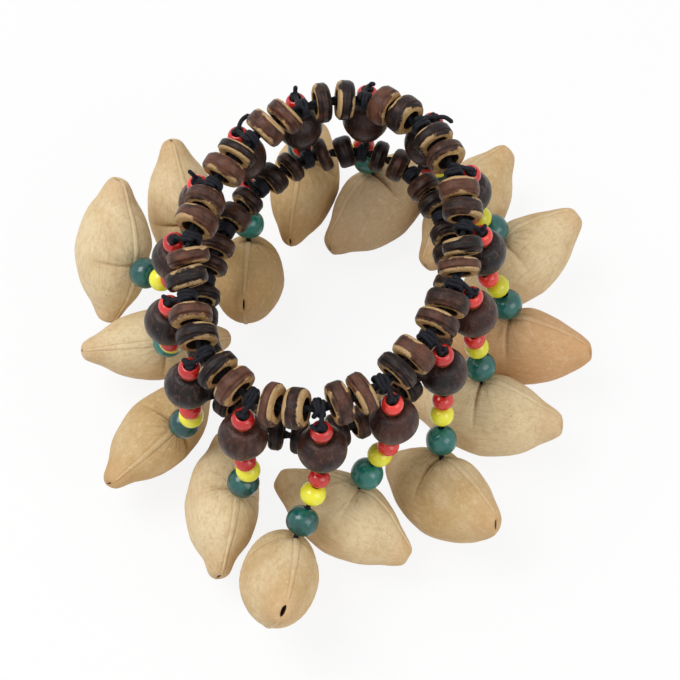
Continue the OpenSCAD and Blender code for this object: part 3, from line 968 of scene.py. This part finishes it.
def strand_route(s):
    """Open centre line of a strand, from its lashing down into the yellow bead."""
    over, under = upper_loop.beside(s.out), lower_loop.beside(s.out)
    rng = np.random.default_rng(100 + s.index)
    count = len(LASH_TURNS)
    across = (np.linspace(-1.1, 1.1, count) + LASH_UNEVEN * rng.normal(size=count)) * LASH_STEP
    lash = wound(s, over, LASH_TURNS, across, LASH_R + LASH_SLACK * rng.normal(size=count))
    across = np.linspace(-1.0, 1.0, len(LOWER_TURNS)) * LASH_STEP
    lower_lash = wound(s, under, LOWER_TURNS, across, np.full(len(LOWER_TURNS), LASH_R))
    knot = s.top + KNOT_OVER_BEAD * s.rise
    threaded = [knot + 0.4 * MM * s.rise, s.top, s.barrel, s.barrel - BARREL_FOOT * s.rise]
    below = [s.red - RED_HEAD * s.drop, s.red, s.yellow + 0.8 * MM * s.drop]
    return rounded(lash + threaded + lower_lash + below)


cords = Piece(**CORD_MARKS)
rng = np.random.default_rng(51)
for s in strands:
    cord(cords, strand_route(s), CORD_R, taper=1.0 * MM)
    knot = s.top + KNOT_OVER_BEAD * s.rise
    rows = basis(s.rise + 0.35 * rng.normal(size=3), s.out + 0.5 * rng.normal(size=3))
    cord(cords, overhand(knot, rows, KNOT_R * rng.uniform(1.0, 1.25)), CORD_R, loop=True)
    away = unit(s.out * rng.uniform(0.2, 1) + s.along * rng.normal() + UP * rng.uniform(0.3, 1))
    length = TAIL.get(s.index, rng.uniform(1.8, 2.6) * MM)
    bend = unit(away + 0.6 * rng.normal(size=3))
    tail = rounded([knot, knot + 0.55 * length * away, knot + 0.6 * length * away + 0.45 * length * bend])
    cord(cords, tail, CORD_R * 0.9, taper=0.3 * MM)
band_piece(cords.make("strand_cords_tied", cord_skin), "cord", "strand_cords")
print("strand of", round(lengths(strand_route(strands[0]))[-1] / MM, 1), "mm")

# %% [markdown]
# ## Drop cords
# Below the yellow bead the cord is open for a moment, and there the nutshell swings. The piece
# starts inside the yellow bead and ends in a stopper knot inside the nutshell. It is drawn in one
# piece, bent at the hinge.

# %% Hang the drops
STOPPER_DROP = 11.15 * MM
STOPPER_R = 1.5 * MM
HOLE_DROP = 8.5 * MM
BEND_START = 0.45 * MM
BEND_REACH = 0.6 * MM
for s in strands:
    drop = Piece(**CORD_MARKS)
    stopper = s.pivot + STOPPER_DROP * s.hang
    route = [s.yellow - 1.0 * MM * s.drop, s.yellow + 1.6 * MM * s.drop, s.pivot - BEND_START * s.drop]
    route += [s.pivot + BEND_START * s.hang, s.green, s.pivot + HOLE_DROP * s.hang, stopper]
    cord(drop, rounded(route), CORD_R, taper=0.6 * MM)
    knot = overhand(stopper, basis(s.hang, s.out), STOPPER_R, 0.7)
    cord(drop, knot, CORD_R * 1.05, loop=True)
    obj = drop.make("drop_cord_tied_" + s.number, cord_skin)
    way = unit(s.drop + s.hang)
    tuple(s.pivot - BEND_REACH * way)
    tuple(s.pivot + BEND_REACH * way)
    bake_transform(obj)
    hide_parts("drop_cord_" + s.number)
print(len(strands), "drop cords")

# %% [markdown]
# ## Nutshells
# A nutshell has two lobes that meet in a crease under its hole, a seam that runs round it through
# both tips, and a small open mouth at each tip. Its skin is an oval carried from tip to tip. The
# oval shrinks towards the tips as the frame's own solid does, and the crease, the shoulders, the
# necks before the tips, the seam and a slow random swelling then push the points in or out. It
# could be sculpted by hand, but then all fifteen would be copies of one. Stations crowd together at
# the crease and at the tips, where the shape turns fastest.

# %% Carve a nutshell
NUT_MARKS = dict(place=3, ray=3, gather=1, tint=1, mouth=1, ends=1, crease=1, seam=1)
CORNER_SOFT = 0.15
CREASE_HALF = 0.42 * MM
CREASE_DEPTH = 1.0 * MM
CREASE_END = 9.0 * MM
SEAM_HALF = 0.6 * MM
HOLE_R = 1.0 * MM
GATHER = 7.0 * MM
TIP_SLOPE = 43
TIP_ROUND = 2.45
TIP_END = 86
TAPER, TIP_TAPER = 0.37, 0.42
HILL, HILL_SIZE = 0.22 * MM, 3.2 * MM
PIT, PIT_SIZE = 0.1 * MM, 1.1 * MM
SHOULDER, SHOULDER_AT, SHOULDER_HALF = 0.3 * MM, 4.2 * MM, 2.6 * MM
NECKS, NECK_AT, NECK_HALF = (0.3, 0.95), 0.74, 0.17
DIMPLE, DIMPLE_HALF = 0.5 * MM, 2.0 * MM
SEAM_RISE, SEAM_GROOVE = 0.22 * MM, 0.08 * MM
GROOVE_AT, GROOVE_HALF = 1.3, 0.3
STAIN, STAIN_REACH = 0.62, 3.5 * MM
DROOPS = (-0.4, 0.7)
NUT_SHIFT = 60


def soft_step(x, low, high):
    t = np.clip((x - low) / (high - low), 0, 1)
    return t * t * (3 - 2 * t)


def hump(x, half):
    """1 at 0, falling away on both sides."""
    return np.exp(-(x / half) ** 2)


def nut_stations():
    """Stations from tip to tip, as shares of the half length."""
    crease = [0, 0.008, 0.018, 0.03, 0.045, 0.065, 0.09, 0.12, 0.16]
    half = np.concatenate([crease, np.linspace(0.2, 0.9, 22), [0.925, 0.95]])
    return np.concatenate([-half[:0:-1], half])


def nut_turns():
    """Angles round a nutshell, closer together at the seam, and their distance from it."""
    quarter = np.array([0, 0.03, 0.065, 0.095, 0.12, 0.15, 0.19, 0.25,
                        0.33, 0.43, 0.55, 0.7, 0.87, 1.05, 1.22, 1.4])
    half = np.concatenate([quarter, [math.pi / 2], math.pi - quarter[:0:-1]])
    turn = math.pi / 2 + np.concatenate([half, half + math.pi])
    away = np.minimum(half, math.pi - half)
    return turn, np.concatenate([away, away])


def nut_lips(ring, opening):
    """Rings that close a tip round its slit, with how deep each lies in the mouth."""
    centre = ring.mean(0)
    way = math.copysign(MM, centre[0])
    start = math.radians(TIP_SLOPE)
    section = []
    for a in np.linspace(start, math.radians(TIP_END), 7)[1:]:
        fall = math.cos(start) - math.cos(a)
        section.append((1 - fall, 1 - 0.75 * fall, TIP_ROUND * (math.sin(a) - math.sin(start)), 0))
    section += [(opening + 0.16, 0.48, 0.76, 0.05), (opening + 0.05, 0.45, 0.62, 0.4)]
    section += [(opening, 0.43, 0.2, 0.95), (0.8 * opening, 0.4, -1.2, 1)]
    lips = np.array([centre + (ring - centre) * (1, narrow, tall) + (way * ahead, 0, 0)
                     for narrow, tall, ahead, deep in section])
    return lips, np.array([deep for *_, deep in section])[:, None]


def nutshell(piece, rng, origin, rows, size, opening, tint, cleft):
    """Adds a nutshell with its hole at the origin, its tips along x and its base down z."""
    length, width, depth = size
    turn, away = nut_turns()
    c, s = np.cos(turn), np.sin(turn)
    station = nut_stations()[:, None]
    reach = np.sqrt(station ** 2 + CORNER_SOFT ** 2) - CORNER_SOFT * (1 - np.abs(station))
    half_width = width / 2 * (1 - TAPER * reach - TIP_TAPER * np.abs(station) ** 3)
    half_depth = depth / 2 * (1 - TAPER * reach - TIP_TAPER * station ** 4)
    x = station * length / 2 + 0 * turn
    z = half_depth * s - depth / 2
    skin = np.stack([x, half_width * c, z], -1)
    push = HILL * swelling(skin, rng, HILL_SIZE) - PIT * np.abs(swelling(skin, rng, PIT_SIZE))
    top = soft_step(z, -0.5 * depth, -0.1 * depth)
    push += SHOULDER * top * hump(np.abs(x) - SHOULDER_AT, SHOULDER_HALF)
    push -= rng.uniform(*NECKS) * MM * hump(np.abs(station) - NECK_AT, NECK_HALF)
    fold = hump(x, CREASE_HALF)
    near = cleft * (1 - soft_step(-z, 0.1 * CREASE_END, (0.5 + 0.5 * cleft) * CREASE_END))
    push -= CREASE_DEPTH * fold * near
    push -= DIMPLE * hump(x, DIMPLE_HALF) * top
    off = away * np.sqrt(half_width * width / 2) / SEAM_HALF
    band = np.exp(-off ** 4) * (1 - fold)
    lines = hump(off - GROOVE_AT, GROOVE_HALF) * (1 - fold)
    push += SEAM_RISE * band - SEAM_GROOVE * lines
    skin += push[..., None] * np.stack([0 * x, c + 0 * x, s + 0 * x], -1)
    skin[..., 2] -= rng.uniform(*DROOPS) * MM * (station ** 2)
    crease = near * np.maximum(fold, STAIN * np.exp(-np.abs(x) / STAIN_REACH))
    first, first_deep = nut_lips(skin[0], opening)
    last, last_deep = nut_lips(skin[-1], opening)
    rings = np.concatenate([first[::-1], skin, last])
    pad = 0 * first[..., 0]
    shift = rng.uniform(-NUT_SHIFT, NUT_SHIFT, 3)
    ray = rings * (1, 1, 0) + (0, 0, HOLE_R)
    marks = dict(place=rings / MM + shift, tint=tint)
    marks["ray"] = ray / np.linalg.norm(ray, axis=-1)[..., None] + shift
    marks["gather"] = hump(np.linalg.norm(rings, axis=-1), GATHER)
    marks["mouth"] = np.concatenate([first_deep[::-1] + pad, 0 * crease, last_deep + pad])
    marks["ends"] = soft_step(np.abs(rings[..., 0]) / (length / 2), 0.5, 1.0)
    marks["crease"] = np.concatenate([pad, crease, pad])
    marks["seam"] = np.concatenate([pad, band - lines, pad])
    piece.skin(origin + rings @ rows, capped=True, **marks)


# %% [markdown]
# ## Fifteen nutshells
# Each nutshell takes its length, width and depth from its own solid, measured along its tips and
# along the cord. It is drawn a little smaller than that, so that its swelling stays clear of its
# neighbours. Some have a shallow crease, one has a wide mouth, and most have a tint of their own:
# from grey through pale straw to reddish brown. The dark tan of the second and the grey of the
# fifteenth are painted shade.

# %% Hang the nutshells
NUT_SCALE = (0.985, 0.96, 0.965)
SHALLOW = {8: 0.3, 3: 0.5, 11: 0.55, 12: 0.6}
WIDE_MOUTH = {7: 0.16}
# Painted shade: the second nutshell's tint of 0.0 and the fifteenth's of -0.4 darken and grey them for
# the shade they hang in.
NUT_TINTS_AND_SHADE = {0: 0.1, 1: 0.0, 3: 0.7, 4: 0.7, 5: 0.1, 6: 0.65, 9: 0.3, 10: 0.68, 11: 0.95, 12: 0.6, 14: -0.4}
for s in strands:
    node = "nutshell_" + s.number
    points = corners(node)
    hang = -s.hang
    flat = points - points.mean(0)
    flat = flat - np.outer(flat @ hang, hang)
    tips = np.linalg.eigh(np.cov(flat.T))[1][:, 2]
    rows = basis(hang, tips)
    size = np.array([span(points, axis) for axis in rows])
    hole = s.pivot - hang * (-(points - s.pivot) @ hang).min()
    piece = Piece(**NUT_MARKS)
    rng = np.random.default_rng(60 + s.index)
    opening = WIDE_MOUTH.get(s.index, rng.uniform(0.04, 0.1))
    tint = NUT_TINTS_AND_SHADE.get(s.index, rng.uniform(0.3, 0.6))
    cleft = SHALLOW.get(s.index, rng.uniform(0.75, 1.0))
    nutshell(piece, rng, hole, rows, size * NUT_SCALE, opening, tint, cleft)
    nut = piece.make("nut_" + s.number, nut_skin)
    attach(nut, s.body)
    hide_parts(node)
    print(node, [round(v / MM, 1) for v in size], "mm")

# %% [markdown]
# ## White sheet
# The bracelet lies on a white sheet. To the camera the sheet is mostly plain white and only a little
# lit surface, so it stays white and still keeps a faint shadow. Stronger lamps would whiten it too,
# but they would bleach the nutshells.

# %% Lay the white sheet
SEEN_RAYS = ("Is Camera Ray", "Is Glossy Ray", "Is Transmission Ray")
SHEET = 2.0
SHEET_GLOW = 0.87


def seen(bench):
    """1 for the rays that end in the camera straight, in a gloss or through something."""
    camera, glossy, through = (bench.node("ShaderNodeLightPath", {}, {}, ray) for ray in SEEN_RAYS)
    return fade(camera + glossy + through, 0.0, 1.0)


def white_sheet():
    material, shader, bench = new_finish("white_sheet")
    wire_up(shader, Base_Color=rgb(240, 240, 240), Roughness=0.9, Specular_IOR_Level=0.1)
    glow = bench.node("ShaderNodeEmission", {}, {"Color": (1, 1, 1, 1), "Strength": 1.0})
    lit = Wire(material.node_tree, shader.outputs[0])
    mixed = bench.node("ShaderNodeMixShader", {}, {0: seen(bench) * SHEET_GLOW, 1: lit, 2: glow})
    output = material.node_tree.nodes["Material Output"]
    material.node_tree.links.new(mixed.socket, output.inputs["Surface"])
    return material


mesh = bpy.data.meshes.new("sheet")
square = [(-SHEET, -SHEET, 0), (SHEET, -SHEET, 0), (SHEET, SHEET, 0), (-SHEET, SHEET, 0)]
mesh.from_pydata(square, [], [(0, 1, 2, 3)])
mesh.materials.append(white_sheet())
sheet = put_in_scene("sheet", mesh)
print("sheet", 2 * SHEET, "m wide")

# %% [markdown]
# ## Light
# A large lamp from the upper left gives the beads their soft highlights, and a weaker one from the
# right lifts the dark sides. The sky fills the rest at a level where a colour renders about as it
# is written, and it is plain white where the camera sees it.

# %% Hang the lamps and the sky
LAMPS_LOOK_AT = 30 * MM
SKY_FILL = 0.5


def lamp(name, place, size, power):
    """A square soft lamp that looks at the bracelet."""
    light = bpy.data.lights.new(name, "AREA")
    light.size, light.energy = size, power
    obj = put_in_scene(name, light)
    obj.location = place
    aim = obj.location.copy()
    aim.z -= LAMPS_LOOK_AT
    obj.rotation_euler = aim.to_track_quat("Z", "Y").to_euler()
    print(name, "lamp of", power, "W")


lamp("key", (-0.3, 0.05, 0.65), size=0.4, power=2.8)
lamp("fill", (0.5, -0.35, 0.5), size=0.5, power=1.7)
world = bpy.data.worlds.new("sky")
world.use_nodes = True
bpy.context.scene.world = world
sky = Wire(world.node_tree)
background = world.node_tree.nodes["Background"]
background.inputs["Color"].default_value = (1, 1, 1, 1)
strength = seen(sky) * (1.0 - SKY_FILL) + SKY_FILL
world.node_tree.links.new(strength.socket, background.inputs["Strength"])

# %% [markdown]
# ## Camera
# The camera looks down steeply at the front of the bracelet from less than half a metre away, with
# a long lens, so that the ring looks open and the near nutshells only a little larger than the far
# ones.

# %% Place the camera
CAMERA_AT = (2.9 * MM, -186.9 * MM, 393.8 * MM)
CAMERA_LOOKS_DOWN = 63.87
CAMERA_LENS = 97.4
CAMERA_SENSOR = 36.0
camera = bpy.data.cameras.new("camera")
camera.lens, camera.sensor_width = CAMERA_LENS, CAMERA_SENSOR
camera.clip_start = 0.01
view = put_in_scene("camera", camera)
view.location = CAMERA_AT
view.rotation_euler = (math.radians(90 - CAMERA_LOOKS_DOWN), 0, 0)
bpy.context.scene.camera = view
bpy.context.scene.view_settings.view_transform = "Standard"
print("camera", round(view.location.length / MM), "mm from the origin")
